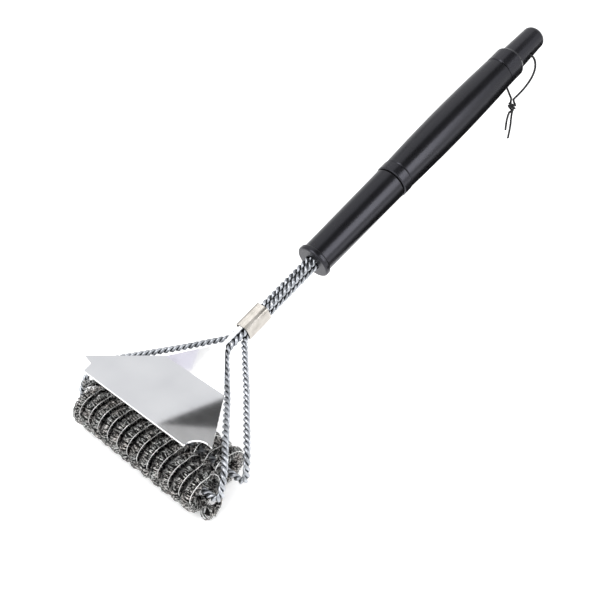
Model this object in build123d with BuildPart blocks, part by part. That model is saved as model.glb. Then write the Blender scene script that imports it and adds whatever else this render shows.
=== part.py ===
from build123d import *
from math import atan, cos, radians, sin, tan
import os

# Grill cleaning brush: two coiled mesh rolls on two bent wire ropes, a plate scraper,
# a crimped ferrule, and a five-piece moulded handle with a hanging cord.
# X runs along the rolls, +Y runs from the rolls to the handle, +Z is up.
# The origin is on the floor under the middle of the outline, where the rolls stand.

# overall layout, in millimetres
overall_width = 140.0          # outside of the left arms to outside of the right arms
roll_radius = 14.9             # the middle of the rolls to the outside of the mesh
mouth_y = -104.88              # the ferrule's open end, seen along Y
mouth_height = 56.4            # the ferrule's open end, above the floor
handle_slope = 21.3            # degrees that the stem and the handle rise above level

# wire ropes
rope_diameter = 4.44
rope_pitch = 4.5               # between the four ropes of the stem
split_run = 17.8               # the front ropes run on this far past the ferrule
rear_split_run = 3.0
arm_end_inset = 56.0           # where an arm meets the straight axle
elbow_radius = 4.6             # turn from an arm into its axle
elbow_overrun = 0.5            # the elbow's corner lies this far outside the arm
knee_radius = 9.0              # turn from the reach of an arm into its drop
front_spread_radius = 12.0     # turn from the stem into the reach of a front arm
rear_spread_radius = 6.0
reach_radius = 60.0            # the slight bend half way along each arm
front_reach_bend = (25.6, -38.0, -16.0)    # from the ferrule's mouth
front_knee = (66.5, -77.5, -26.5)
rear_reach_bend = (31.5, -27.5, -14.0)
rear_knee = (66.2, -59.5, -24.4)

# rolls
front_axle_reach = 83.5        # ferrule mouth to the front axle, along Y
rear_axle_reach = 63.3         # ferrule mouth to the rear axle, along Y
coil_pitch = 9.8
front_coil_start = -61.2       # the first turn's middle, at the top of the roll
front_coil_turns = 12.6
rear_coil_turns = 11.3
mesh_diameter = 4.4            # the mesh sleeve on the coil wire
coil_wire_diameter = 1.2
sleeve_clearance = 0.1         # between the coil wire and the sleeve's bore

# ferrule
ferrule_length = 19.9
ferrule_wall = 0.7
tang_thickness = 1.2
ferrule_gap = 0.06
ferrule_rounding = 2.6

# scraper
plate_thickness = 1.2
tang_half_width = 1.4          # in the groove between the two upper ropes
throat_half_width = 5.6        # where the plate starts to flare
throat_reach = 23.0            # fold to that place
throat_taper = 5.0             # along the tang, from there to its narrow part
fold_reach = 42.2
fold_half_width = 27.8
blade_reach = 89.7
blade_half_width = 48.0
wing_half_width = 61.5
wing_back = 9.8                # wing tips, behind the blade's edge
notch_x = -51.6                # the pointed notch's inner corner
notch_depth = 7.8
right_wing_half_width = 60.7
scallop_depth = 10.4           # the round notch at the right wing
scallop_width = 8.5
scallop_bulge_x = 2.2          # a point on the round notch, from its inner corner
scallop_bulge_depth = 8.5
tang_end_gap = 1.0             # the tang stops short of the ferrule's back
blade_rise = 3.6

# handle, as distances from the front face of the flange
stem_length = 47.4
flange_length = 4.4
lower_grip_end = 83.7
middle_ring_end = 92.4
belly_position = 147.0
upper_grip_end = 212.6
collar_end = 226.2
chamfer_end = 228.8
cap_end = 261.2
joint_gap = 0.4                # the visible grooves between the handle's pieces
face_gap = 0.1
edge_chamfer = 0.7
grip_chamfer = 1.0
collar_chamfer = 1.6
flange_rounding = 1.4
lead_in = 0.4
flange_radius = 12.75
grip_front_radius = 11.35
grip_back_radius = 12.1
ring_radius = 12.7
upper_front_radius = 12.3
belly_radius = 13.5
upper_back_radius = 12.4
collar_radius = 12.35
cap_front_radius = 10.1
cap_back_radius = 9.0
cap_rounding = 4.0
rope_socket_radius = 5.6
rope_socket_depth = 45.0
socket_end_gap = 1.0
ring_spigot_radius = 7.0
ring_spigot_length = 22.0
spigot_end_gap = 0.3
collar_spigot_length = 8.0
cap_spigot_radius = 6.0
cap_spigot_length = 6.0
spigot_fit = 0.05

# hanging cord
cord_hole_position = 240.0
cord_hole_radius = 1.6
cord_diameter = 1.4
rounding_share = 0.45          # of the shorter run, taken by each bend of the cord
knot_length = 10.0
knot_end_radius = 1.7
knot_lower_radius = 2.5
knot_waist_radius = 1.9
knot_upper_radius = 2.4
knot_offset = (-1.0, 0.0, -48.1)    # the knot's lower end, from the cord hole

os.makedirs("parts", exist_ok=True)

# directions and reference points
slope = radians(handle_slope)
along = Vector(0, cos(slope), sin(slope))
above = Vector(0, -sin(slope), cos(slope))
mouth = Vector(0, mouth_y, mouth_height)
ferrule_back = mouth + along * ferrule_length
flange_face = ferrule_back + along * stem_length
axle_height = roll_radius
arm_x = (overall_width - rope_diameter) / 2
handle_axis = Axis(tuple(flange_face), tuple(along))
profile_plane = Plane(origin=tuple(flange_face), x_dir=(1, 0, 0), z_dir=tuple(above))


def from_mouth(x, y, z):
    return mouth + Vector(x, y, z)


def on_axle(x, reach):
    return Vector(x, mouth_y - reach, axle_height)


def across_stem(origin):
    # local X stays X, local Y is the stem's upper side, the normal points to the rolls
    return Plane(origin=tuple(origin), x_dir=(1, 0, 0), z_dir=tuple(along * -1))


def finish(part, name):
    part.label = name
    export_step(part, f"parts/{name}.step")


# ---------------------------------------------------------------- handle
with BuildPart() as lower_grip:
    with BuildSketch(profile_plane):
        with BuildLine():
            Polyline(
                (0, rope_socket_depth),
                (rope_socket_radius, rope_socket_depth),
                (rope_socket_radius, 0),
                (flange_radius - flange_rounding, 0),
            )
            RadiusArc(
                (flange_radius - flange_rounding, 0),
                (flange_radius, flange_rounding),
                -flange_rounding,
            )
            Line((flange_radius, flange_rounding), (flange_radius, flange_length - flange_rounding))
            RadiusArc(
                (flange_radius, flange_length - flange_rounding),
                (grip_front_radius, flange_length),
                -flange_rounding,
            )
            Polyline(
                (grip_front_radius, flange_length),
                (grip_back_radius, lower_grip_end - grip_chamfer),
                (grip_back_radius - grip_chamfer, lower_grip_end),
                (ring_spigot_radius, lower_grip_end),
                (ring_spigot_radius, lower_grip_end + ring_spigot_length),
                (0, lower_grip_end + ring_spigot_length),
                (0, rope_socket_depth),
            )
        make_face()
    revolve(axis=handle_axis)
finish(lower_grip.part, "lower_grip")

with BuildPart() as middle_ring:
    ring_start = lower_grip_end + joint_gap
    with BuildSketch(profile_plane):
        with BuildLine():
            Polyline(
                (ring_spigot_radius + spigot_fit, ring_start),
                (ring_radius - edge_chamfer, ring_start),
                (ring_radius, ring_start + edge_chamfer),
                (ring_radius, middle_ring_end - edge_chamfer),
                (ring_radius - edge_chamfer, middle_ring_end),
                (ring_spigot_radius + spigot_fit, middle_ring_end),
                close=True,
            )
        make_face()
    revolve(axis=handle_axis)
finish(middle_ring.part, "middle_ring")

with BuildPart() as upper_grip:
    upper_start = middle_ring_end + face_gap
    bore_end = lower_grip_end + ring_spigot_length + spigot_end_gap
    with BuildSketch(profile_plane):
        with BuildLine():
            Polyline(
                (0, bore_end),
                (ring_spigot_radius + spigot_fit, bore_end),
                (ring_spigot_radius + spigot_fit, upper_start),
                (upper_front_radius - lead_in, upper_start),
                (upper_front_radius, upper_start + edge_chamfer),
            )
            Spline(
                (upper_front_radius, upper_start + edge_chamfer),
                (belly_radius, belly_position),
                (upper_back_radius, upper_grip_end - edge_chamfer),
            )
            Polyline(
                (upper_back_radius, upper_grip_end - edge_chamfer),
                (upper_back_radius - edge_chamfer, upper_grip_end),
                (cap_spigot_radius, upper_grip_end),
                (cap_spigot_radius, upper_grip_end + collar_spigot_length),
                (0, upper_grip_end + collar_spigot_length),
                (0, bore_end),
            )
        make_face()
    revolve(axis=handle_axis)
finish(upper_grip.part, "upper_grip")

with BuildPart() as collar_ring:
    collar_start = upper_grip_end + joint_gap
    with BuildSketch(profile_plane):
        with BuildLine():
            Polyline(
                (cap_spigot_radius + spigot_fit, collar_start),
                (collar_radius - edge_chamfer, collar_start),
                (collar_radius, collar_start + edge_chamfer),
                (collar_radius, collar_end),
                (collar_radius - collar_chamfer, chamfer_end),
                (cap_spigot_radius + spigot_fit, chamfer_end),
                close=True,
            )
        make_face()
    revolve(axis=handle_axis)
finish(collar_ring.part, "collar_ring")

cord_hole_centre = flange_face + along * cord_hole_position
with BuildPart() as end_cap:
    cap_start = chamfer_end + face_gap
    with BuildSketch(profile_plane):
        with BuildLine():
            Polyline(
                (0, cap_start - cap_spigot_length),
                (cap_spigot_radius, cap_start - cap_spigot_length),
                (cap_spigot_radius, cap_start),
                (cap_front_radius, cap_start),
                (cap_back_radius, cap_end - cap_rounding),
            )
            RadiusArc(
                (cap_back_radius, cap_end - cap_rounding),
                (cap_back_radius - cap_rounding, cap_end),
                -cap_rounding,
            )
            Polyline(
                (cap_back_radius - cap_rounding, cap_end),
                (0, cap_end),
                (0, cap_start - cap_spigot_length),
            )
        make_face()
    revolve(axis=handle_axis)
    with BuildSketch(Plane(origin=tuple(cord_hole_centre), x_dir=(0, 1, 0), z_dir=(1, 0, 0))):
        Circle(cord_hole_radius)
    extrude(amount=2 * cap_front_radius, both=True, mode=Mode.SUBTRACT)
finish(end_cap.part, "end_cap")

# ---------------------------------------------------------------- ferrule
bundle = rope_pitch + rope_diameter
bore_width = bundle + 2 * ferrule_gap
bore_height = bundle + tang_thickness + 3 * ferrule_gap
with BuildPart() as ferrule:
    shift = (0, (tang_thickness + ferrule_gap) / 2)
    with BuildSketch(across_stem(ferrule_back)):
        with Locations(shift):
            outer_width = bore_width + 2 * ferrule_wall
            outer_height = bore_height + 2 * ferrule_wall
            RectangleRounded(outer_width, outer_height, ferrule_rounding)
            RectangleRounded(bore_width, bore_height, ferrule_rounding - ferrule_wall, mode=Mode.SUBTRACT)
    extrude(amount=ferrule_length)
finish(ferrule.part, "ferrule")


# ---------------------------------------------------------------- wire ropes
def rope_points(side, level, reach, bends):
    # from the socket in the handle, down the stem, out along the arm and into the axle
    offset = Vector(side * rope_pitch / 2, 0, 0) + above * (level * rope_pitch / 2)
    start = flange_face + along * (rope_socket_depth - socket_end_gap) + offset
    points = [start]
    for x, y, z in bends:
        points.append(mouth + Vector(side * x, y, z))
    points.append(on_axle(side * arm_end_inset, reach))
    return points


def rope_arm(name, points, radii):
    with BuildPart() as arm:
        with BuildLine():
            FilletPolyline(*[tuple(p) for p in points], radius=radii)
        with BuildSketch(Plane(origin=tuple(points[0]), z_dir=tuple(points[1] - points[0]))):
            Circle(rope_diameter / 2)
        sweep()
    finish(arm.part, name)


split = along * -split_run + above * (rope_pitch / 2)
lower_exit = along * -rear_split_run - above * (rope_pitch / 2)
front_bends = [
    (rope_pitch / 2, split.Y, split.Z),
    front_reach_bend,
    front_knee,
    (arm_x + elbow_overrun, -front_axle_reach, axle_height - mouth_height),
]
rear_bends = [
    (rope_pitch / 2, lower_exit.Y, lower_exit.Z),
    rear_reach_bend,
    rear_knee,
    (arm_x + elbow_overrun, -rear_axle_reach, axle_height - mouth_height),
]
front_radii = [front_spread_radius, reach_radius, knee_radius, elbow_radius]
rear_radii = [rear_spread_radius, reach_radius, knee_radius, elbow_radius]
for side, word in ((-1, "left"), (1, "right")):
    rope_arm(f"front_{word}_arm", rope_points(side, 1, front_axle_reach, front_bends), front_radii)
    rope_arm(f"rear_{word}_arm", rope_points(side, -1, rear_axle_reach, rear_bends), rear_radii)

for word, reach in (("front", front_axle_reach), ("rear", rear_axle_reach)):
    with BuildPart() as axle:
        with BuildSketch(Plane(origin=tuple(on_axle(0, reach)), x_dir=(0, 1, 0), z_dir=(1, 0, 0))):
            Circle(rope_diameter / 2)
        extrude(amount=arm_end_inset, both=True)
    finish(axle.part, f"{word}_axle")

# ---------------------------------------------------------------- rolls
coil_radius = roll_radius - mesh_diameter / 2
sleeve_bore_radius = coil_wire_diameter / 2 + sleeve_clearance


def coil_path(start_x, turns, reach, left_hand):
    return Helix(
        coil_pitch,
        coil_pitch * turns,
        coil_radius,
        center=tuple(on_axle(start_x, reach)),
        direction=(1, 0, 0),
        lefthand=left_hand,
    )


# the rear roll is wound the other way, half a pitch along, so its turns lie between the front ones
rolls = (
    ("front", front_axle_reach, True, front_coil_start, front_coil_turns),
    ("rear", rear_axle_reach, False, front_coil_start + coil_pitch / 2, rear_coil_turns),
)
for word, reach, left_hand, start_x, turns in rolls:
    with BuildPart() as coil_wire:
        with BuildLine():
            wire_path = coil_path(start_x, turns, reach, left_hand)
        with BuildSketch(Plane(origin=wire_path @ 0, z_dir=wire_path % 0)):
            Circle(coil_wire_diameter / 2)
        sweep(is_frenet=True)
    finish(coil_wire.part, f"{word}_coil_wire")
    with BuildPart() as mesh_sleeve:
        with BuildLine():
            sleeve_path = coil_path(start_x, turns, reach, left_hand)
        with BuildSketch(Plane(origin=sleeve_path @ 0, z_dir=sleeve_path % 0)):
            Circle(mesh_diameter / 2)
            Circle(sleeve_bore_radius, mode=Mode.SUBTRACT)
        sweep(is_frenet=True)
    finish(mesh_sleeve.part, f"{word}_mesh_sleeve")
    print(word, "roll starts at", wire_path @ 0, "ends at", wire_path @ 1)

# ---------------------------------------------------------------- scraper
tang_level = rope_pitch / 2 + rope_diameter / 2 + ferrule_gap
tang_back = mouth + along * (ferrule_length - tang_end_gap) + above * tang_level
tang_run = (fold_reach + tang_back.Y - mouth_y) / cos(slope)
fold_point = tang_back - along * tang_run
blade_slope = atan(blade_rise / (blade_reach - fold_reach))
blade_run = (blade_reach - fold_reach) / cos(blade_slope)
blade_forward = Vector(0, -cos(blade_slope), sin(blade_slope))
blade_up = Vector(0, sin(blade_slope), cos(blade_slope))
with BuildPart() as scraper:
    # both outlines lie in X and the run away from the fold
    tang_plane = Plane(origin=tuple(fold_point), x_dir=(1, 0, 0), z_dir=tuple(above))
    with BuildSketch(tang_plane):
        with BuildLine():
            Polyline(
                (-fold_half_width, 0),
                (fold_half_width, 0),
                (throat_half_width, throat_reach),
                (tang_half_width, throat_reach + throat_taper),
                (tang_half_width, tang_run),
                (-tang_half_width, tang_run),
                (-tang_half_width, throat_reach + throat_taper),
                (-throat_half_width, throat_reach),
                close=True,
            )
        make_face()
    extrude(amount=plate_thickness)
    blade_plane = Plane(origin=tuple(fold_point), x_dir=(1, 0, 0), z_dir=tuple(blade_up))
    with BuildSketch(blade_plane):
        with BuildLine():
            # the right wing ends in a round grate notch, the left wing in a pointed one
            Polyline(
                (-fold_half_width, 0),
                (-wing_half_width, wing_back - blade_run),
                (notch_x, notch_depth - blade_run),
                (-blade_half_width, -blade_run),
                (blade_half_width, -blade_run),
            )
            ThreePointArc(
                (blade_half_width, -blade_run),
                (blade_half_width + scallop_bulge_x, scallop_bulge_depth - blade_run),
                (blade_half_width + scallop_width, scallop_depth - blade_run),
            )
            Polyline(
                (blade_half_width + scallop_width, scallop_depth - blade_run),
                (right_wing_half_width, wing_back - blade_run),
                (fold_half_width, 0),
                (-fold_half_width, 0),
            )
        make_face()
    extrude(amount=plate_thickness)
finish(scraper.part, "scraper")

# ---------------------------------------------------------------- hanging cord
knot_base = cord_hole_centre + Vector(*knot_offset)
# (x, y, z) from the centre of the cord hole
loop_route = [
    (-2.0, 0.0, -37.6),
    (-6.5, 0.2, -31.5),
    (-10.5, 0.4, -24.5),
    (-13.2, 0.2, -16.0),
    (-14.8, 0.0, -7.5),
    (-12.6, 0.0, -1.0),
    (-6.2, 0.0, 0.25),
    (0.4, 0.0, -0.2),
    (6.6, 0.0, 0.2),
    (12.8, 0.0, -0.8),
    (15.6, -0.2, -6.8),
    (14.6, -0.4, -14.2),
    (11.0, -0.2, -22.0),
    (6.0, 0.0, -30.0),
    (0.0, 0.0, -37.6),
]
short_tail_route = [(-1.7, -0.8, -48.2), (-2.6, -1.2, -52.0), (-3.2, -1.1, -57.5), (-2.9, -1.4, -63.5)]
long_tail_route = [(-0.3, 0.8, -48.2), (-0.9, 1.3, -53.5), (-0.6, 1.6, -60.5), (-1.5, 1.3, -71.0)]


def arc_radii(points):
    radii = []
    for before, here, after in zip(points, points[1:], points[2:]):
        first = here - before
        second = after - here
        half_turn = radians(first.get_angle(second)) / 2
        radii.append(rounding_share * min(first.length, second.length) / tan(half_turn))
    return radii


def cord_run(name, route):
    points = [cord_hole_centre + Vector(*place) for place in route]
    radii = arc_radii(points)
    with BuildPart() as cord:
        with BuildLine() as path:
            FilletPolyline(*[tuple(point) for point in points], radius=radii)
        with BuildSketch(Plane(origin=tuple(points[0]), z_dir=tuple(points[1] - points[0]))):
            Circle(cord_diameter / 2)
        sweep()
    length = sum(edge.length for edge in path.edges())
    print(name, "length", round(length, 1))
    finish(cord.part, name)


cord_run("cord_loop", loop_route)
cord_run("cord_tail_short", short_tail_route)
cord_run("cord_tail_long", long_tail_route)

with BuildPart() as cord_knot:
    knot_plane = Plane(origin=tuple(knot_base), x_dir=(1, 0, 0), z_dir=(0, -1, 0))
    with BuildSketch(knot_plane):
        with BuildLine():
            Polyline(
                (knot_end_radius, knot_length),
                (0, knot_length),
                (0, 0),
                (knot_end_radius, 0),
            )
            Spline(
                (knot_end_radius, 0),
                (knot_lower_radius, knot_length * 0.2),
                (knot_waist_radius, knot_length * 0.48),
                (knot_upper_radius, knot_length * 0.75),
                (knot_end_radius, knot_length),
            )
        make_face()
    revolve(axis=Axis(tuple(knot_base), (0, 0, 1)))
finish(cord_knot.part, "cord_knot")
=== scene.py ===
import math
import random

import bmesh
import bpy
from mathutils import Matrix, Quaternion, Vector, noise


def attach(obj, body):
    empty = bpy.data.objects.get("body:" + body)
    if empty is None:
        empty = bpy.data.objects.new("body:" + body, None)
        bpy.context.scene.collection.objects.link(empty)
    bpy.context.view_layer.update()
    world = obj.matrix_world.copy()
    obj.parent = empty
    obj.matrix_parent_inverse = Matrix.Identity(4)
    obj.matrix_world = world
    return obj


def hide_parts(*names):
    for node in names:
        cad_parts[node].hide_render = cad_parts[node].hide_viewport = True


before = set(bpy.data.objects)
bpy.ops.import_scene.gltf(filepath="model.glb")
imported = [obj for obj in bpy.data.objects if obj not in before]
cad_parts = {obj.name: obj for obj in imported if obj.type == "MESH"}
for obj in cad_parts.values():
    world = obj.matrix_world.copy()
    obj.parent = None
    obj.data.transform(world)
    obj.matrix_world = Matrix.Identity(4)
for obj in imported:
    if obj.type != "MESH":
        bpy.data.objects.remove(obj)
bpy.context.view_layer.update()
mm = 0.001


# camera

camera = {
    "place": (0.3706, -0.42685, 0.4065),
    "right": (0.7121, 0.7021, -0.0059),
    "up": (-0.3854, 0.3979, 0.8325),
    "back": (0.5868, -0.5906, 0.5539),
    "lens": 56.7,
}


def makeCamera():
    data = bpy.data.cameras.new("camera")
    data.sensor_width = 36
    data.lens = camera["lens"]
    data.clip_start = 0.01
    cam = bpy.data.objects.new("camera", data)
    bpy.context.collection.objects.link(cam)
    turn = Matrix((camera["right"], camera["up"], camera["back"])).transposed()
    cam.matrix_world = Matrix.Translation(camera["place"]) @ turn.to_quaternion().to_matrix().to_4x4()
    bpy.context.scene.camera = cam


makeCamera()
print("camera in place")


# node helpers

def newMaterial(name):
    mat = bpy.data.materials.new(name)
    mat.use_nodes = True
    tree = mat.node_tree
    return mat, tree, tree.nodes["Principled BSDF"]


def addNode(tree, kind, values=None, **settings):
    node = tree.nodes.new(kind)
    for key, value in settings.items():
        setattr(node, key, value)
    for key, value in (values or {}).items():
        node.inputs[key].default_value = value
    return node


def addMapping(tree, source, scale, turn=(0, 0, 0)):
    mapping = addNode(tree, "ShaderNodeMapping", {"Scale": scale, "Rotation": turn})
    tree.links.new(source, mapping.inputs["Vector"])
    return mapping.outputs["Vector"]


def addNoise(tree, vector, scale, detail=2.0, rough=0.5):
    tex = addNode(tree, "ShaderNodeTexNoise", {"Scale": scale, "Detail": detail, "Roughness": rough})
    tree.links.new(vector, tex.inputs["Vector"])
    return tex.outputs["Fac"]


def addRamp(tree, fac, stops):
    ramp = addNode(tree, "ShaderNodeValToRGB")
    tree.links.new(fac, ramp.inputs["Fac"])
    for extra in stops[2:]:
        ramp.color_ramp.elements.new(extra[0])
    for element, stop in zip(ramp.color_ramp.elements, sorted(stops)):
        element.position = stop[0]
        element.color = (*stop[1], 1)
    return ramp.outputs["Color"]


def addBump(tree, shader, height, distance, strength=1.0):
    bump = addNode(tree, "ShaderNodeBump", {"Distance": distance, "Strength": strength})
    tree.links.new(height, bump.inputs["Height"])
    tree.links.new(bump.outputs["Normal"], shader.inputs["Normal"])


def objectCoords(tree):
    return addNode(tree, "ShaderNodeTexCoord").outputs["Object"]


def remap(tree, fac, low, high):
    node = addNode(tree, "ShaderNodeMapRange", {"To Min": low, "To Max": high})
    tree.links.new(fac, node.inputs["Value"])
    return node.outputs["Result"]


# line and wire helpers

def linkMesh(name, mesh, mat):
    obj = bpy.data.objects.new(name, mesh)
    bpy.context.collection.objects.link(obj)
    obj.data.materials.clear()
    obj.data.materials.append(mat)
    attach(obj, "root")
    return obj


def wireMesh(name, lines, radius, rounding=1):
    # one closed round wire along each line of points, as one mesh
    data = bpy.data.curves.new(name, "CURVE")
    data.dimensions = "3D"
    data.bevel_depth = radius
    data.bevel_resolution = rounding
    data.use_fill_caps = True
    for line in lines:
        spline = data.splines.new("POLY")
        spline.points.add(len(line) - 1)
        for point, place in zip(spline.points, line):
            if len(place) == 4:      # the fourth value swells or thins the wire
                point.radius = place[3]
            point.co = (place[0], place[1], place[2], 1)
    carrier = bpy.data.objects.new(name, data)
    bpy.context.collection.objects.link(carrier)
    bpy.context.view_layer.update()
    mesh = bpy.data.meshes.new_from_object(carrier.evaluated_get(bpy.context.evaluated_depsgraph_get()))
    bpy.data.objects.remove(carrier)
    bpy.data.curves.remove(data)
    mesh.name = name
    for face in mesh.polygons:
        face.use_smooth = True
    return mesh


def roundedPath(corners, radii, arcStep=0.12):
    # straight runs joined by true arcs
    points = [Vector(corners[0])]
    for before, corner, after, radius in zip(corners, corners[1:-1], corners[2:], radii):
        inward = (Vector(corner) - Vector(before)).normalized()
        outward = (Vector(after) - Vector(corner)).normalized()
        turn = inward.angle(outward)
        reach = radius * math.tan(turn / 2)
        start = Vector(corner) - inward * reach
        centre = start + (outward - inward * inward.dot(outward)).normalized() * radius
        axis = inward.cross(outward).normalized()
        steps = max(2, math.ceil(turn / arcStep))
        for i in range(steps + 1):
            points.append(centre + Quaternion(axis, turn * i / steps) @ (start - centre))
    points.append(Vector(corners[-1]))
    return points


def evenPoints(points, step):
    # the same line with points a fixed step apart
    result = [points[0].copy()]
    left = step
    for a, b in zip(points, points[1:]):
        run = (b - a).length
        place = left
        while place <= run:
            result.append(a.lerp(b, place / run))
            place += step
        left = place - run
    return result


def twistedLines(points, count, offset, lay, hand):
    # lines that wind round a centre line, with a frame carried along it
    lines = [[] for _ in range(count)]
    tangent = (points[1] - points[0]).normalized()
    side = tangent.orthogonal().normalized()
    travelled = 0.0
    for i, point in enumerate(points):
        ahead = points[min(i + 1, len(points) - 1)]
        behind = points[max(i - 1, 0)]
        newTangent = (ahead - behind).normalized()
        side = tangent.rotation_difference(newTangent) @ side
        side = (side - newTangent * side.dot(newTangent)).normalized()
        tangent = newTangent
        if i:
            travelled += (point - points[i - 1]).length
        for k, line in enumerate(lines):
            angle = hand * math.tau * travelled / lay + math.tau * k / count
            line.append(point + Quaternion(tangent, angle) @ side * offset)
    return lines


# hanging cord

cord = {      # routes are in millimetres from the middle of the cross hole
    "diameter": 1.75 * mm,
    "length": 0.106,
    "holeCentre": (0.0, 181.43, 168.03),
    "loop": [
        (-2.0, 0.0, -37.6), (-6.5, 0.2, -31.5), (-10.5, 0.4, -24.5), (-13.2, 0.2, -16.0),
        (-14.8, 0.0, -7.5), (-12.6, 0.0, -1.0), (-6.2, 0.0, 0.25), (0.4, 0.0, -0.2),
        (6.6, 0.0, 0.2), (12.8, 0.0, -0.8), (15.6, -0.2, -6.8), (14.6, -0.4, -14.2),
        (11.0, -0.2, -22.0), (6.0, 0.0, -30.0), (0.0, 0.0, -37.6),
    ],
    "shortTail": [(-1.7, -0.8, -48.2), (-2.6, -1.2, -52.0), (-3.2, -1.1, -57.5), (-2.9, -1.4, -63.5)],
    "longTail": [(-0.3, 0.8, -48.2), (-0.9, 1.3, -53.5), (-0.6, 1.6, -60.5), (-1.5, 1.3, -71.0)],
    "knot": [
        (-2.0, 0.0, -37.6), (-2.3, 0.3, -40.0), (-2.9, 1.3, -42.6), (-1.2, 2.4, -44.8), (1.2, 1.6, -45.2),
        (2.2, -0.4, -44.2), (1.0, -2.2, -43.0), (-1.6, -2.3, -42.6), (-3.3, -0.8, -43.6), (-3.1, 1.2, -45.6),
        (-1.4, 1.6, -47.0), (-0.7, 0.4, -47.8), (-1.7, -0.8, -48.6),
    ],
    "knotPartner": [
        (0.0, 0.0, -37.6), (0.4, 0.6, -40.2), (0.2, 2.2, -41.6), (1.9, 1.2, -42.6), (2.0, -1.2, -41.6),
        (0.0, -2.4, -41.0), (-2.4, -1.6, -41.2), (-2.9, 0.6, -41.8), (-1.2, 1.2, -43.8), (0.8, 0.2, -44.6),
        (1.2, -1.0, -46.0), (0.3, -0.2, -47.4), (-0.3, 0.8, -48.6),
    ],
    "strands": 3,
    "strandLay": 3.4 * mm,
    "strandShare": 0.62,
    "step": 0.16 * mm,
    "colour": (0.004, 0.004, 0.0045),
    "fibreColour": (0.020, 0.020, 0.022),
    "fibreScale": 2600.0,
    "roughness": 0.75,
    "sheen": 0.08,
}


def makeCordMaterial():
    mat, tree, shader = newMaterial("braidedCord")
    coords = objectCoords(tree)
    fibre = addNoise(tree, coords, cord["fibreScale"], 3.0)
    colour = addRamp(tree, fibre, [(0.3, cord["colour"]), (0.75, cord["fibreColour"])])
    tree.links.new(colour, shader.inputs["Base Color"])
    shader.inputs["Roughness"].default_value = cord["roughness"]
    shader.inputs["Sheen Weight"].default_value = cord["sheen"]
    addBump(tree, shader, fibre, 0.00012, 0.8)
    return mat


def cordPoints(route):
    centre = Vector(cord["holeCentre"])
    return [(centre + Vector(p)) * mm for p in route]


def splineLine(route):
    # the smooth line of a route, read from its own spline
    data = bpy.data.curves.new("route", "CURVE")
    data.dimensions = "3D"
    data.resolution_u = 24
    spline = data.splines.new("NURBS")
    spline.points.add(len(route) - 1)
    for point, place in zip(spline.points, route):
        point.co = (*place, 1)
    spline.order_u = 3
    spline.use_endpoint_u = True
    carrier = bpy.data.objects.new("route", data)
    bpy.context.collection.objects.link(carrier)
    bpy.context.view_layer.update()
    mesh = bpy.data.meshes.new_from_object(carrier.evaluated_get(bpy.context.evaluated_depsgraph_get()))
    line = [v.co.copy() for v in mesh.vertices]
    bpy.data.objects.remove(carrier)
    bpy.data.meshes.remove(mesh)
    bpy.data.curves.remove(data)
    return line


def laidCord(name, route, mat):
    # strands laid round the route make the cord
    line = splineLine(route)
    radius = cord["diameter"] / 2
    strand = radius * cord["strandShare"]
    places = evenPoints(line, cord["step"])
    lines = twistedLines(places, cord["strands"], radius - strand, cord["strandLay"], 1)
    return linkMesh(name, wireMesh(name, lines, strand), mat), line


def makeCord():
    mat = makeCordMaterial()
    loop, line = laidCord("hangingLoop", cordPoints(cord["loop"]), mat)
    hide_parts("cord_loop")
    knot, _ = laidCord("hangingKnot", cordPoints(cord["knot"]), mat)
    partner, _ = laidCord("hangingKnotPartner", cordPoints(cord["knotPartner"]), mat)
    shortTail, _ = laidCord("hangingTailShort", cordPoints(cord["shortTail"]), mat)
    longTail, _ = laidCord("hangingTailLong", cordPoints(cord["longTail"]), mat)
    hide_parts("cord_knot")
    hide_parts("cord_tail_short")
    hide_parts("cord_tail_long")
    length = sum((b - a).length for a, b in zip(line, line[1:]))
    print("cord spline length", round(length * 1000, 1))


makeCord()
print("cord in place")


# wire rope frame

rope = {      # millimetres, and places are from the ferrule's mouth
    "slope": math.radians(21.3),
    "mouth": (0.0, -104.88, 56.4),
    "diameter": 4.44,
    "pitch": 4.5,
    "lay": 8.4,
    "hand": -1,
    "into": 105.0,
    "step": 0.55,
    "front": [      # each bend of the right half from the mouth, and its radius
        ((2.25, -17.4, -4.37), 12), ((25.6, -38.0, -16.0), 60),
        ((66.5, -77.5, -26.5), 9), ((68.28, -83.5, -41.5), 4.6),
    ],
    "rear": [
        ((2.25, None, None), 6), ((31.5, -27.5, -14.0), 60),
        ((66.2, -59.5, -24.4), 9), ((68.28, -63.3, -41.5), 4.6),
    ],
    "rearSplit": -3.0,      # where the rear ropes part, along the handle from the mouth
    "darkSteel": (0.31, 0.325, 0.345),
    "paleSteel": (0.58, 0.60, 0.64),
    "gapReach": 2.2 * mm,
}
along = Vector((0, math.cos(rope["slope"]), math.sin(rope["slope"])))
above = Vector((0, -math.sin(rope["slope"]), math.cos(rope["slope"])))
mouth = Vector(rope["mouth"])


def multiplyColours(tree, first, second):
    mix = addNode(tree, "ShaderNodeMix", data_type="RGBA", blend_type="MULTIPLY")
    mix.inputs["Factor"].default_value = 1.0
    tree.links.new(first, mix.inputs[6])
    tree.links.new(second, mix.inputs[7])
    return mix.outputs[2]


def paintGapShade(tree, colour, distance, dark=0.05, start=0.35, end=0.8):
    # painted shade: an ambient occlusion mask darkens the colour in the crevices between wires
    shade = addNode(tree, "ShaderNodeAmbientOcclusion", {"Distance": distance}, samples=8)
    gap = addRamp(tree, shade.outputs["AO"], [(start, (dark, dark, dark)), (end, (1, 1, 1))])
    return multiplyColours(tree, colour, gap)


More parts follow.
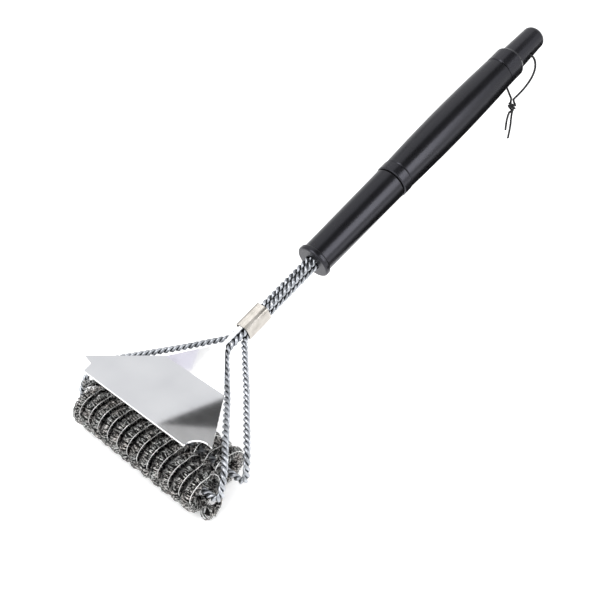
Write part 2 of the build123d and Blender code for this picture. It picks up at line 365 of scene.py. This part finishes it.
def makeRopeMaterial():
    mat, tree, shader = newMaterial("twistedSteelWire")
    coords = objectCoords(tree)
    cloud = addNoise(tree, coords, 160.0, 3.0)
    colour = addRamp(tree, cloud, [(0.3, rope["darkSteel"]), (0.7, rope["paleSteel"])])
    # painted shade darkens the rope colour in the gaps between its strands
    tree.links.new(paintGapShade(tree, colour, rope["gapReach"]), shader.inputs["Base Color"])
    fine = addNoise(tree, coords, 1500.0, 4.0)
    tree.links.new(remap(tree, fine, 0.22, 0.45), shader.inputs["Roughness"])
    shader.inputs["Metallic"].default_value = 1.0
    addBump(tree, shader, fine, 0.00006, 0.6)
    return mat


def ropeCorners(word):
    lift = rope["pitch"] / 2 * (1 if word == "front" else -1)
    bends = [(list(place), radius) for place, radius in rope[word]]
    if word == "rear":
        start = along * rope["rearSplit"] + above * lift
        bends[0][0][1:] = [start.y, start.z]
    stem = along * rope["into"] + above * lift + Vector((rope["pitch"] / 2, 0, 0))
    half = [(stem, None)] + [(Vector(place), radius) for place, radius in bends]
    other = [(Vector((-p.x, p.y, p.z)), radius) for p, radius in reversed(half)]
    whole = half + other
    return [(mouth + p) * mm for p, _ in whole], [r * mm for _, r in whole[1:-1]]


def makeRopes():
    mat = makeRopeMaterial()
    for word in ("front", "rear"):
        corners, radii = ropeCorners(word)
        line = evenPoints(roundedPath(corners, radii), rope["step"] * mm)
        strand = rope["diameter"] / 4 * mm
        lines = twistedLines(line, 2, strand, rope["lay"] * mm, rope["hand"])
        piece = linkMesh(f"{word}Rope", wireMesh(f"{word}Rope", lines, strand, 3), mat)
        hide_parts(f"{word}_left_arm", f"{word}_right_arm", f"{word}_axle")
        print(word, "rope length", round(len(line) * rope["step"]))


makeRopes()
print("ropes in place")


# scouring rolls

roll = {      # millimetres
    "outer": 15.0,
    "fat": 4.3,
    "thin": 2.2,
    "front": {"reach": 83.5, "hand": 1, "start": -61.2, "turns": 12.6, "pitch": 9.8, "facing": 0.0},
    "rear": {"reach": 63.3, "hand": -1, "start": -56.3, "turns": 11.3, "pitch": 9.8, "facing": math.pi},
    "axleDrop": -41.5,
    "swellFrom": 60.0,      # degrees away from the other roll
    "swellTo": 95.0,
    "looseEnd": 0.5,      # of a turn
    "looseThin": 0.5,
    "looseSink": 6.5,
    "insideShare": 0.66,
    "tipShare": 0.15,
    "tipRise": 2.2,
    "middleShare": 0.8,
    "stepsPerTurn": 40,
    "wires": 4,
    "wireRadius": 0.19,
    "windPitch": 2.1,
    "pointsPerWind": 10,
    "windWobble": 1.9,
    "liftMean": 0.92,
    "liftWobble": 0.22,
    "shiftWobble": 3.0,
    "wander": {      # noise step along a wire, gap between wires, start
        "wind": (0.11, 7.3, 0),
        "lift": (0.27, 3.1, 50),
        "shift": (0.19, 5.7, 90),
    },
    "springRadius": 0.24,
    "springAside": 0.82,
    "springSunk": 0.25,
    "springProud": 0.42,
    "seed": 11,
    # colours of the painted shade and painted glint speckle on the fine mesh wires
    "meshPaintedShade": (0.02, 0.02, 0.02),
    "meshPaintedGlint": (1.0, 0.99, 0.97),
    "meshSpeckle": 750.0,
}


def easeBetween(x, low, high):
    t = min(1.0, max(0.0, (x - low) / (high - low)))
    return t * t * (3 - 2 * t)


def rollShape(word, turnAngle):
    # centre of the mesh tube, its radius and its frame, at an angle along the coil
    values = roll[word]
    centre = mouth + Vector((0, -values["reach"], roll["axleDrop"]))
    angle = math.pi / 2 - values["hand"] * turnAngle      # zero points to the handle side
    direction = Vector((0, math.cos(angle), math.sin(angle)))
    away = abs((angle - values["facing"] + math.pi) % math.tau - math.pi)
    swell = easeBetween(away, math.radians(roll["swellFrom"]), math.radians(roll["swellTo"]))
    radius = roll["thin"] + (roll["fat"] - roll["thin"]) * swell
    x = values["start"] + values["pitch"] * turnAngle / math.tau
    late = turnAngle / math.tau - math.floor(values["turns"])
    drawnIn = 0.0
    if word == "front" and 0 < late < roll["looseEnd"]:      # the sleeve's loose end lies in under the rope
        radius = roll["thin"] + (radius - roll["thin"]) * roll["looseThin"]
        drawnIn = roll["looseSink"] * math.sin(math.pi * late / roll["looseEnd"]) ** 2
    place = Vector((x, centre.y, centre.z)) + direction * (roll["outer"] - radius - drawnIn)
    return place, radius, direction


def makeMeshMaterial():
    mat, tree, shader = newMaterial("scouringMesh")
    coords = objectCoords(tree)
    speckle = addNoise(tree, coords, roll["meshSpeckle"], 3.0, 0.65)
    tint = addNoise(tree, coords, 120.0, 2.0)
    # painted glints and painted shade: noise speckles the wires with near-white and near-black metal
    bright = addRamp(tree, speckle, [(0.44, roll["meshPaintedShade"]), (0.60, roll["meshPaintedGlint"])])
    warm = addRamp(tree, tint, [(0.35, (0.97, 1.0, 1.0)), (0.7, (1.0, 0.94, 0.91))])
    colour = multiplyColours(tree, bright, warm)
    # painted shade darkens the mesh colour in the gaps between the fine wires
    tree.links.new(paintGapShade(tree, colour, 2.5 * mm, 0.02, 0.40, 0.85), shader.inputs["Base Color"])
    shader.inputs["Metallic"].default_value = 1.0
    tree.links.new(remap(tree, speckle, 0.2, 0.42), shader.inputs["Roughness"])
    return mat


def makeInsideShadeMaterial():
    mat, tree, shader = newMaterial("meshInside")
    coords = objectCoords(tree)
    knit = addNoise(tree, coords, 1300.0, 4.0, 0.7)
    # painted shade: near-black colour for the sleeve's shaded inside
    colour = addRamp(tree, knit, [(0.55, (0.002, 0.002, 0.002)), (0.75, (0.05, 0.05, 0.05))])
    tree.links.new(colour, shader.inputs["Base Color"])
    shader.inputs["Metallic"].default_value = 0.6
    shader.inputs["Roughness"].default_value = 0.6
    addBump(tree, shader, knit, 0.0004, 1.0)
    return mat


def makeSpringMaterial():
    mat, tree, shader = newMaterial("springWire")
    coords = objectCoords(tree)
    cloud = addNoise(tree, coords, 400.0, 3.0)
    colour = addRamp(tree, cloud, [(0.3, (0.70, 0.70, 0.69)), (0.7, (0.93, 0.93, 0.91))])
    tree.links.new(colour, shader.inputs["Base Color"])
    shader.inputs["Metallic"].default_value = 1.0
    tree.links.new(remap(tree, cloud, 0.16, 0.3), shader.inputs["Roughness"])
    return mat


def makeInside(word, total, steps, mat):
    # near-black packed inside of the sleeve, painted shade for the dense wires deep within
    line = []
    for i in range(steps + 1):
        turnAngle = total * i / steps
        place, radius, _ = rollShape(word, turnAngle)
        fromEnd = min(turnAngle, total - turnAngle)
        taper = min(1.0, roll["tipShare"] + roll["tipRise"] * fromEnd)      # both ends narrow to a tip
        line.append((*(place * mm), radius * roll["insideShare"] * taper))
    inside = linkMesh(f"{word}MeshInside", wireMesh(f"{word}MeshInside", [line], mm, 3), mat)
    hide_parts(f"{word}_mesh_sleeve")


def wander(kind, word, k, i):
    # how far a wire strays at one of its points
    step, gap, start = roll["wander"][kind]
    return noise.noise(Vector((i * step, k * gap + start, len(word))))


def makeKnit(word, total, mat):
    # fine wires that loop round the sleeve, no two alike
    randomSource = random.Random(roll["seed"] + len(word))
    middleRadius = roll["outer"] - roll["fat"] * roll["middleShare"]
    windsPerTurn = math.tau * middleRadius / roll["windPitch"]
    count = int(total / math.tau * windsPerTurn * roll["pointsPerWind"])
    for k in range(roll["wires"]):
        hand = 1 if k % 2 else -1
        phase = randomSource.uniform(0, math.tau)
        line = []
        for i in range(count + 1):
            turnAngle = total * i / count
            place, radius, direction = rollShape(word, turnAngle)
            wobble = roll["windWobble"] * wander("wind", word, k, i)
            around = hand * turnAngle * windsPerTurn + phase + wobble
            lift = roll["liftMean"] + roll["liftWobble"] * wander("lift", word, k, i)
            shift = roll["shiftWobble"] * wander("shift", word, k, i)
            ring = direction * math.cos(around) + Vector((1, 0, 0)) * math.sin(around)
            tangent = Vector((0, -direction.z, direction.y))
            line.append((place + ring * radius * lift + tangent * shift) * mm)
        name = f"{word}KnitWire{k + 1}"
        linkMesh(name, wireMesh(name, [line], roll["wireRadius"] * mm, 0), mat)


def makeSpring(word, total, steps, mat):
    # bright spring wire in the crease beside each turn
    line = []
    for i in range(steps + 1):
        place, radius, direction = rollShape(word, total * i / steps)
        risen = easeBetween(direction.z, -0.35, 0.45)      # sinks into the curls low down
        proud = roll["springSunk"] + roll["springProud"] * risen
        aside = Vector((radius * roll["springAside"], 0, 0))
        line.append((place + aside + direction * radius * proud) * mm)
    wire = wireMesh(f"{word}Spring", [line], roll["springRadius"] * mm, 2)
    spring = linkMesh(f"{word}Spring", wire, mat)
    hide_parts(f"{word}_coil_wire")


def makeRolls():
    meshMat, insideShadeMat, springMat = makeMeshMaterial(), makeInsideShadeMaterial(), makeSpringMaterial()
    for word in ("front", "rear"):
        total = roll[word]["turns"] * math.tau
        steps = int(roll[word]["turns"] * roll["stepsPerTurn"])
        makeInside(word, total, steps, insideShadeMat)
        makeKnit(word, total, meshMat)
        makeSpring(word, total, steps, springMat)
        print(word, "roll done")


makeRolls()


# scraper, ferrule and handle keep their own shape and get their finish here

finish = {
    "grip": (0.0045, 0.0045, 0.005),
    "gripGloss": 0.24,      # lowest roughness
    "cap": (0.006, 0.006, 0.007),
    "capGloss": 0.22,
    "plasticGrain": 1800.0,
    "plasticTint": (0.86, 0.86, 1.0, 1),
    "plateDark": (0.84, 0.84, 0.85),
    "platePale": (0.95, 0.95, 0.95),
    "plateRoughness": (0.03, 0.07),
    "ferruleDark": (0.42, 0.395, 0.36),
    "ferrulePale": (0.56, 0.53, 0.49),
    "ferruleRoughness": (0.10, 0.24),
}


def makeScraperMaterial():
    mat, tree, shader = newMaterial("brushedPlate")
    coords = objectCoords(tree)
    grain = addNoise(tree, addMapping(tree, coords, (30, 900, 900)), 1.0, 3.0)
    cloud = addNoise(tree, coords, 26.0, 2.0)
    colour = addRamp(tree, cloud, [(0.3, finish["plateDark"]), (0.75, finish["platePale"])])
    tree.links.new(colour, shader.inputs["Base Color"])
    shader.inputs["Metallic"].default_value = 1.0
    tree.links.new(remap(tree, grain, *finish["plateRoughness"]), shader.inputs["Roughness"])
    addBump(tree, shader, grain, 0.000002, 0.12)
    return mat


def makeFerruleMaterial():
    mat, tree, shader = newMaterial("polishedFerrule")
    coords = objectCoords(tree)
    across = addMapping(tree, coords, (1400, 60, 60), (rope["slope"], 0, 0))
    grain = addNoise(tree, across, 1.0, 3.0)
    cloud = addNoise(tree, coords, 180.0, 2.0)
    colour = addRamp(tree, cloud, [(0.3, finish["ferruleDark"]), (0.7, finish["ferrulePale"])])
    tree.links.new(colour, shader.inputs["Base Color"])
    shader.inputs["Metallic"].default_value = 1.0
    tree.links.new(remap(tree, grain, *finish["ferruleRoughness"]), shader.inputs["Roughness"])
    addBump(tree, shader, grain, 0.00002, 0.3)
    return mat


def makeGripMaterial(name, colour, gloss):
    mat, tree, shader = newMaterial(name)
    coords = objectCoords(tree)
    grain = addNoise(tree, coords, finish["plasticGrain"], 4.0)
    cloud = addNoise(tree, coords, 40.0, 3.0)
    lighter = tuple(c * 1.5 for c in colour)
    tree.links.new(addRamp(tree, cloud, [(0.3, colour), (0.75, lighter)]), shader.inputs["Base Color"])
    tree.links.new(remap(tree, cloud, gloss, gloss + 0.08), shader.inputs["Roughness"])
    shader.inputs["Specular IOR Level"].default_value = 0.50
    shader.inputs["Specular Tint"].default_value = finish["plasticTint"]
    addBump(tree, shader, grain, 0.00006, 0.5)
    return mat


def dress(node, mat):
    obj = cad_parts[node]
    for materialSlot in obj.material_slots:
        materialSlot.material = mat


def dressNodes():
    grip = makeGripMaterial("satinGrip", finish["grip"], finish["gripGloss"])
    cap = makeGripMaterial("satinCap", finish["cap"], finish["capGloss"])
    for node in ("lower_grip", "upper_grip"):
        dress(node, grip)
    for node in ("middle_ring", "collar_ring", "end_cap"):
        dress(node, cap)
    dress("scraper", makeScraperMaterial())
    dress("ferrule", makeFerruleMaterial())


dressNodes()
print("finishes in place")


# floor and light

studio = {
    "floorColour": (0.93, 0.93, 0.93),
    "floorPale": (0.95, 0.95, 0.95),
    "floorGlow": 0.35,
    "floorDrop": 0.5 * mm,
    "sky": 1.0,
    "skyStops": [
        (0.0, (1.0, 1.0, 1.0)), (0.28, (1.0, 1.0, 1.0)), (0.42, (0.74, 0.75, 0.78)),
        (0.62, (0.80, 0.81, 0.83)), (0.74, (1.0, 1.0, 1.0)),
    ],
    "aim": (0, 0, 0.08),
    "key": {"place": (-0.1, -0.8, 0.9), "size": (0.5, 0.9), "power": 6.0},
    "fill": {"place": (0.9, 0.3, 0.7), "size": (0.4, 0.8), "power": 4.0},
    "cards": {      # corners, shade, tint and glow of the cards that the polished plate mirrors
        "darkCard": (
            [(-0.4186, 0.1678, 0.4541), (-0.374, 0.300, 0.4230), (-0.338, 0.246, 0.4530)],
            0.05, (1, 1, 1), 0.0,
        ),
        "greyCard": (
            [
                (-0.4186, 0.1678, 0.4541), (-0.338, 0.246, 0.4530),
                (-0.345, 0.175, 0.4790), (-0.405, 0.150, 0.4700),
            ],
            0.30, (1, 1, 1), 0.0,
        ),
        "violetCard": (
            [
                (-0.380, -0.192, 0.4100), (-0.330, -0.150, 0.4350),
                (-0.322, -0.176, 0.4330), (-0.350, -0.205, 0.4180),
            ],
            0.50, (1.0, 0.98, 1.1), 0.0,
        ),
        "brightCard": (
            [
                (-0.262, -0.190, 0.4560), (-0.270, -0.060, 0.4850),
                (-0.315, -0.060, 0.4600), (-0.318, -0.190, 0.4310),
            ],
            0.9, (1, 1, 1), 0.9,
        ),
    },
    "handleCards": [      # turn about the handle and half width, in degrees
        ("handleCardFront", -16, 22), ("handleCardBelow", 118, 36),
    ],
    "handleCardAway": 0.15,
    "handleCardRun": (0.06, 0.46),
    "handleShade": 0.01,
}


def makeFloor():
    bm = bmesh.new()
    bmesh.ops.create_grid(bm, x_segments=1, y_segments=1, size=6.0)
    mesh = bpy.data.meshes.new("floor")
    bm.to_mesh(mesh)
    bm.free()
    floor = bpy.data.objects.new("floor", mesh)
    floor.location.z = -studio["floorDrop"]
    bpy.context.collection.objects.link(floor)
    mat, tree, shader = newMaterial("studioFloor")
    coords = objectCoords(tree)
    fine = addNoise(tree, coords, 4.0, 1.0)
    colour = addRamp(tree, fine, [(0.2, studio["floorColour"]), (0.8, studio["floorPale"])])
    tree.links.new(colour, shader.inputs["Base Color"])
    shader.inputs["Roughness"].default_value = 0.9
    shader.inputs["Specular IOR Level"].default_value = 0.1
    shader.inputs["Emission Color"].default_value = (1, 1, 1, 1)
    shader.inputs["Emission Strength"].default_value = studio["floorGlow"]
    mesh.materials.append(mat)


def addLight(name, place, size, power):
    data = bpy.data.lights.new(name, "AREA")
    data.shape = "RECTANGLE"
    data.size, data.size_y = size
    data.energy = power
    light = bpy.data.objects.new(name, data)
    light.location = place
    light.rotation_mode = "QUATERNION"
    light.rotation_quaternion = (Vector(studio["aim"]) - Vector(place)).to_track_quat("-Z", "Y")
    bpy.context.collection.objects.link(light)


def makeLight():
    world = bpy.data.worlds.new("studio")
    world.use_nodes = True
    back = world.node_tree.nodes["Background"]
    tree = world.node_tree
    direction = addNode(tree, "ShaderNodeTexCoord").outputs["Generated"]
    split = addNode(tree, "ShaderNodeSeparateXYZ")
    tree.links.new(direction, split.inputs["Vector"])
    sky = addRamp(tree, split.outputs["Z"], studio["skyStops"])      # a greyer belt half way up
    tree.links.new(sky, back.inputs["Color"])
    back.inputs["Strength"].default_value = studio["sky"]
    bpy.context.scene.world = world
    for name in ("key", "fill"):
        addLight(name, **studio[name])


def besideHandle(turn, halfTurn):
    # corners of a long card beside the handle, turned about it from the camera's side
    eye = Vector(camera["place"]) - mouth * mm
    facing = (eye - along * eye.dot(along)).normalized()
    aside = along.cross(facing)
    start, end = studio["handleCardRun"]
    corners = []
    for angle, run in ((-halfTurn, start), (-halfTurn, end), (halfTurn, end), (halfTurn, start)):
        bearing = math.radians(turn + angle)
        outward = facing * math.cos(bearing) + aside * math.sin(bearing)
        corners.append(mouth * mm + along * run + outward * studio["handleCardAway"])
    return corners


def makeCard(name, corners, shade, tint=(1, 1, 1), glow=0.0):
    # a card out of view that only reflections show
    bm = bmesh.new()
    bm.faces.new([bm.verts.new(corner) for corner in corners])
    mesh = bpy.data.meshes.new(name)
    bm.to_mesh(mesh)
    bm.free()
    card = bpy.data.objects.new(name, mesh)
    bpy.context.collection.objects.link(card)
    mat, tree, shader = newMaterial(name)
    fine = addNoise(tree, objectCoords(tree), 60.0, 2.0)
    darker = [shade * t for t in tint]
    paler = [shade * 1.2 * t for t in tint]
    tree.links.new(addRamp(tree, fine, [(0.3, darker), (0.7, paler)]), shader.inputs["Base Color"])
    shader.inputs["Roughness"].default_value = 0.9
    shader.inputs["Specular IOR Level"].default_value = 0.0
    shader.inputs["Emission Color"].default_value = (1, 1, 1, 1)
    shader.inputs["Emission Strength"].default_value = glow
    mesh.materials.append(mat)
    card.visible_camera = False
    card.visible_shadow = False
    card.visible_diffuse = False


makeFloor()
makeLight()
for cardName, card in studio["cards"].items():
    makeCard(cardName, *card)
for cardName, turn, halfTurn in studio["handleCards"]:
    makeCard(cardName, besideHandle(turn, halfTurn), studio["handleShade"])
bpy.context.scene.view_settings.view_transform = "Standard"
print("studio in place")
